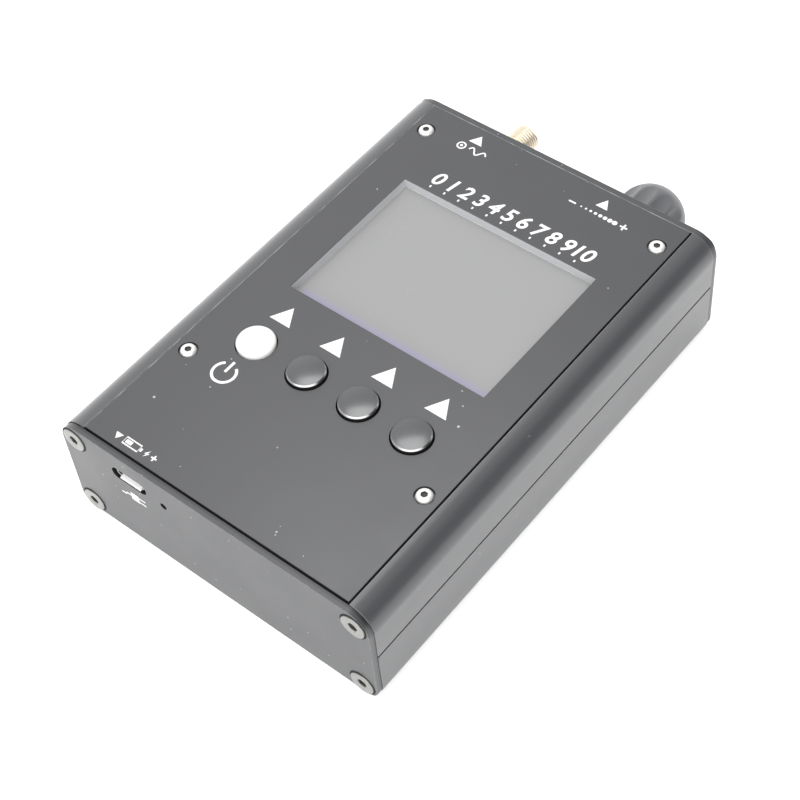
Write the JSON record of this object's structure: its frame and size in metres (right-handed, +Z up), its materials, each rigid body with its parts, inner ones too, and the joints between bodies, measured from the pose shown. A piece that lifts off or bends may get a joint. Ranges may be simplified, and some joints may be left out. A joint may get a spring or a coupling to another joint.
{
  "type": "handheld antenna analyzer",
  "caption": "Handheld antenna analyzer in a split aluminium case with a sunk face plate, small display, round keys, a push-and-turn knob and a coaxial test jack.",
  "frame": {"origin": "centre of the case's flat bottom, midway between the outer faces of the two end plates", "axes": "+X across the case to the right of the keys, +Y along the case from the charging end to the jack end, +Z up through the face"},
  "size_m": [0.08, 0.1324, 0.029],
  "materials": {
    "black_anodised": "black anodised, fine satin",
    "face_black": "black anodised, fine matt",
    "screw_steel": "bright machined stainless steel",
    "white_key": "gloss white",
    "black_key": "gloss black",
    "knob_black": "black anodised, fluted",
    "gold_plate": "gold plated brass",
    "insulator": "white fluoropolymer",
    "circuit_board": "green solder resist over glass-fibre laminate",
    "standoff_brass": "turned brass",
    "gasket_foam": "grey closed-cell foam",
    "display_glass": "grey liquid-crystal panel with satin front film",
    "backlight": "white diffuser",
    "carrier_black": "moulded black",
    "tail_film": "amber polyimide film",
    "connector_plastic": "ivory moulding",
    "plunger_plastic": "ivory moulding",
    "switch_plastic": "moulded black",
    "plated_steel": "tin plated sheet",
    "cast_metal": "grey die casting",
    "nickel_brass": "nickel plated brass",
    "cell_pouch": "laminated foil pouch",
    "foam_pad": "white adhesive foam",
    "guard_board": "amber tape over a small board",
    "lead_red": "red silicone insulation",
    "lead_black": "black silicone insulation",
    "plug_white": "white nylon",
    "chip_black": "moulded black",
    "light_lens": "clear encapsulation",
    "small_parts": "fired ceramic"
  },
  "bodies": {
    "case": {"lower_shell": "black_anodised", "upper_shell": "black_anodised", "face_plate": "face_black", "face_screws": "screw_steel", "usb_end_plate": "face_black", "jack_end_plate": "face_black", "end_screws": "screw_steel", "main_board": "circuit_board", "board_standoffs": "standoff_brass", "board_screws": "screw_steel", "display_gasket": "gasket_foam", "display_glass": "display_glass", "display_backlight": "backlight", "display_carrier": "carrier_black", "display_tail": "tail_film", "tail_connector": "connector_plastic", "switch_bases": "switch_plastic", "switch_covers": "plated_steel", "encoder_housing": "cast_metal", "encoder_rear_cover": "switch_plastic", "encoder_bushing": "nickel_brass", "encoder_washer": "plated_steel", "encoder_nut": "nickel_brass", "jack_body": "gold_plate", "jack_insulator": "insulator", "jack_contact": "gold_plate", "jack_washer": "gold_plate", "jack_nut": "gold_plate", "usb_shell": "plated_steel", "usb_tongue": "switch_plastic", "charge_light": "light_lens", "battery_cell": "cell_pouch", "battery_pad": "foam_pad", "battery_guard_board": "guard_board", "battery_lead_red": "lead_red", "battery_lead_black": "lead_black", "battery_plug": "plug_white", "battery_header": "plug_white", "shield_can": "plated_steel", "microcontroller": "chip_black", "radio_chip": "chip_black", "charger_chip": "chip_black", "power_inductor": "chip_black", "crystal_can": "plated_steel", "small_chips": "small_parts"},
    "power_key": {"power_key_cap": "white_key", "power_key_plunger": "plunger_plastic"},
    "left_key": {"left_key_cap": "black_key", "left_key_plunger": "plunger_plastic"},
    "middle_key": {"middle_key_cap": "black_key", "middle_key_plunger": "plunger_plastic"},
    "right_key": {"right_key_cap": "black_key", "right_key_plunger": "plunger_plastic"},
    "encoder_press": {"encoder_push_pin": "plunger_plastic"},
    "encoder_turn": {"encoder_shaft": "nickel_brass", "tuning_knob": "knob_black"}
  },
  "joints": [
    {"name": "power_key_press", "type": "slide", "parent": "case", "child": "power_key", "axis": [0, 0, -1], "range_m": [0, 0.0003], "stiffness_N_per_m": 4000, "springref_m": -0.0003},
    {"name": "left_key_press", "type": "slide", "parent": "case", "child": "left_key", "axis": [0, 0, -1], "range_m": [0, 0.0003], "stiffness_N_per_m": 4000, "springref_m": -0.0003},
    {"name": "middle_key_press", "type": "slide", "parent": "case", "child": "middle_key", "axis": [0, 0, -1], "range_m": [0, 0.0003], "stiffness_N_per_m": 4000, "springref_m": -0.0003},
    {"name": "right_key_press", "type": "slide", "parent": "case", "child": "right_key", "axis": [0, 0, -1], "range_m": [0, 0.0003], "stiffness_N_per_m": 4000, "springref_m": -0.0003},
    {"name": "encoder_push", "type": "slide", "parent": "case", "child": "encoder_press", "axis": [0, -1, 0], "range_m": [0, 0.0005], "stiffness_N_per_m": 4000, "springref_m": -0.0005},
    {"name": "knob_turn", "type": "hinge", "parent": "encoder_press", "child": "encoder_turn", "pos_m": [0.0169, 0.065, 0.0119], "axis": [0, 1, 0], "continuous": true}
  ]
}
